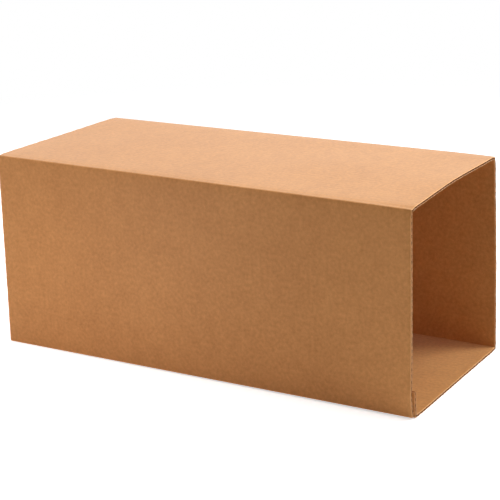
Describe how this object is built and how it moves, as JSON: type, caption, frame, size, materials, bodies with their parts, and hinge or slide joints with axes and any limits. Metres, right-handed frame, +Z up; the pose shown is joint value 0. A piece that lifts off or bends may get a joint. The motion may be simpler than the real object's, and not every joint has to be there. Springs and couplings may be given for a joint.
{
  "type": "corrugated cardboard sleeve",
  "caption": "Long square sleeve folded from one sheet of brown corrugated board, open at both ends, its flutes running along it and its lower front edge closed by a glued inner flap.",
  "frame": {"origin": "middle of the bottom panel's underside, where the sleeve stands", "axes": "+X along the sleeve and its flutes to the near open end, +Y from the front panel with the glued flap to the back panel, +Z up"},
  "size_m": [0.6096, 0.2652, 0.2652],
  "materials": {
    "kraft_board": "matt brown kraft paper with fine fibre mottling"
  },
  "bodies": {
    "root": {"sleeve": "kraft_board"}
  },
  "joints": []
}
